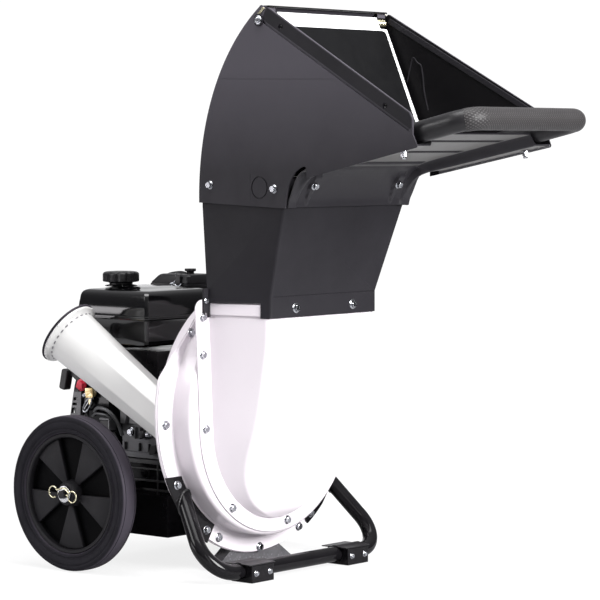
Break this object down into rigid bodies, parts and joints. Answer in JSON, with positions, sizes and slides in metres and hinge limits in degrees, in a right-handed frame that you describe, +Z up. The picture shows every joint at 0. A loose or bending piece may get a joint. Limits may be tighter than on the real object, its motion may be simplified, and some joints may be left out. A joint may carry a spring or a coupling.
{
  "type": "garden shredder",
  "caption": "Wheeled petrol garden shredder: angled hand hopper with sprung flap, impeller drum with flails, side chipper cone, small engine, tubular stand.",
  "frame": {"origin": "centre of the bounding box on the ground plane", "axes": "+X from the engine towards the hopper mouth and push handle, +Y to the machine's left, +Z up"},
  "size_m": [1.0886, 0.624, 1.092],
  "materials": {
    "white_paint": "gloss",
    "black_paint": "gloss",
    "black_plastic": "textured",
    "hub_plastic": "satin",
    "rubber": "matte",
    "grip_rubber": "textured",
    "zinc_steel": "satin",
    "galvanised_sheet": "satin",
    "yellow_zinc": "satin",
    "hardened_steel": "satin",
    "cast_aluminium": "matte",
    "gloss_black": "gloss",
    "red_plastic": "satin",
    "brass": "satin",
    "dark_plastic": "satin",
    "white_plastic": "satin"
  },
  "bodies": {
    "chassis": {"base_frame": "black_paint", "axle": "zinc_steel", "hitch_pin_right": "yellow_zinc", "hitch_pin_left": "yellow_zinc", "stand_tube": "black_paint", "stand_bracket_right": "black_paint", "stand_bracket_left": "black_paint", "stand_foot_right": "dark_plastic", "stand_foot_left": "dark_plastic", "housing_rear": "white_paint", "housing_front": "white_paint", "shredder_chute": "white_paint", "chipper_cone": "white_paint", "chipper_mouth_ring": "grip_rubber", "discharge_hood": "galvanised_sheet", "hopper_adapter": "black_plastic", "hopper_panel_right": "black_plastic", "hopper_panel_left": "black_plastic", "hopper_back": "black_plastic", "hopper_ramp": "black_plastic", "handle": "black_plastic", "handle_grip": "grip_rubber", "flap_rod": "zinc_steel", "flap_spring_right": "yellow_zinc", "flap_spring_left": "yellow_zinc", "crankcase": "cast_aluminium", "cylinder": "cast_aluminium", "valve_cover": "dark_plastic", "fan_shroud": "black_paint", "recoil_cover": "black_paint", "fuel_tank": "gloss_black", "air_cleaner": "dark_plastic", "carburettor": "cast_aluminium", "muffler": "hardened_steel", "spark_plug_cap": "dark_plastic"},
    "right_wheel": {"tyre_right": "rubber", "wheel_hub_right": "hub_plastic"},
    "left_wheel": {"tyre_left": "rubber", "wheel_hub_left": "hub_plastic"},
    "rotor": {"crankshaft": "hardened_steel", "impeller": "hardened_steel", "chipper_blade_1": "hardened_steel", "chipper_blade_2": "hardened_steel", "flail_pin_1": "zinc_steel", "flail_pin_2": "zinc_steel", "impeller_bolt": "zinc_steel", "flywheel": "hardened_steel"},
    "flail_a": {"flail_1": "hardened_steel"},
    "flail_b": {"flail_2": "hardened_steel"},
    "flail_c": {"flail_3": "hardened_steel"},
    "flail_d": {"flail_4": "hardened_steel"},
    "hopper_flap": {"leaf_flap": "white_plastic"},
    "starter_grip": {"recoil_grip": "dark_plastic"},
    "tank_cap": {"fuel_cap": "dark_plastic"},
    "dipstick": {"oil_dipstick": "zinc_steel"},
    "stop_switch": {"engine_switch": "red_plastic"},
    "choke": {"choke_lever": "zinc_steel"},
    "throttle": {"throttle_lever": "zinc_steel"},
    "fuel_tap": {"fuel_valve_lever": "brass"},
    "cleaner_knob": {"air_cleaner_knob": "dark_plastic"}
  },
  "joints": [
    {"name": "right_wheel_spin", "type": "hinge", "parent": "chassis", "child": "right_wheel", "pos_m": [-0.3581, -0.2755, 0.1524], "axis": [0, 1, 0], "continuous": true},
    {"name": "left_wheel_spin", "type": "hinge", "parent": "chassis", "child": "left_wheel", "pos_m": [-0.3581, 0.2755, 0.1524], "axis": [0, 1, 0], "continuous": true},
    {"name": "rotor_spin", "type": "hinge", "parent": "chassis", "child": "rotor", "pos_m": [-0.1421, 0, 0.313], "axis": [1, 0, 0], "continuous": true},
    {"name": "flail_1_swing", "type": "hinge", "parent": "rotor", "child": "flail_a", "pos_m": [-0.1286, 0, 0.463], "axis": [1, 0, 0], "continuous": true},
    {"name": "flail_2_swing", "type": "hinge", "parent": "rotor", "child": "flail_b", "pos_m": [-0.1106, 0, 0.463], "axis": [1, 0, 0], "continuous": true},
    {"name": "flail_3_swing", "type": "hinge", "parent": "rotor", "child": "flail_c", "pos_m": [-0.1286, 0, 0.163], "axis": [1, 0, 0], "continuous": true},
    {"name": "flail_4_swing", "type": "hinge", "parent": "rotor", "child": "flail_d", "pos_m": [-0.1106, 0, 0.163], "axis": [1, 0, 0], "continuous": true},
    {"name": "leaf_flap_swing", "type": "hinge", "parent": "chassis", "child": "hopper_flap", "pos_m": [0.0529, 0, 1.069], "axis": [0, 1, 0], "range_deg": [0, 40], "stiffness_Nm_per_rad": 0.3, "springref_deg": -57.3},
    {"name": "starter_pull", "type": "slide", "parent": "chassis", "child": "starter_grip", "axis": [0, -1, 0], "range_m": [0, 0.45]},
    {"name": "fuel_cap_turn", "type": "hinge", "parent": "chassis", "child": "tank_cap", "pos_m": [-0.4351, -0.06, 0.5474], "axis": [0, 0, 1], "range_deg": [0, 90]},
    {"name": "dipstick_turn", "type": "hinge", "parent": "chassis", "child": "dipstick", "pos_m": [-0.3321, -0.0904, 0.255], "axis": [0, -1, 0], "range_deg": [0, 180]},
    {"name": "engine_switch_turn", "type": "hinge", "parent": "chassis", "child": "stop_switch", "pos_m": [-0.4901, -0.1169, 0.346], "axis": [0, -1, 0], "range_deg": [0, 60]},
    {"name": "choke_lever_turn", "type": "hinge", "parent": "chassis", "child": "choke", "pos_m": [-0.4271, 0.1484, 0.455], "axis": [0, 1, 0], "range_deg": [0, 60]},
    {"name": "throttle_lever_turn", "type": "hinge", "parent": "chassis", "child": "throttle", "pos_m": [-0.4271, 0.0976, 0.447], "axis": [0, 1, 0], "range_deg": [-20, 20]},
    {"name": "fuel_valve_turn", "type": "hinge", "parent": "chassis", "child": "fuel_tap", "pos_m": [-0.4581, -0.1172, 0.331], "axis": [0, 1, 0], "range_deg": [0, 90]},
    {"name": "cleaner_knob_turn", "type": "hinge", "parent": "chassis", "child": "cleaner_knob", "pos_m": [-0.4161, 0.128, 0.5654], "axis": [0, 0, 1], "range_deg": [0, 180]}
  ]
}
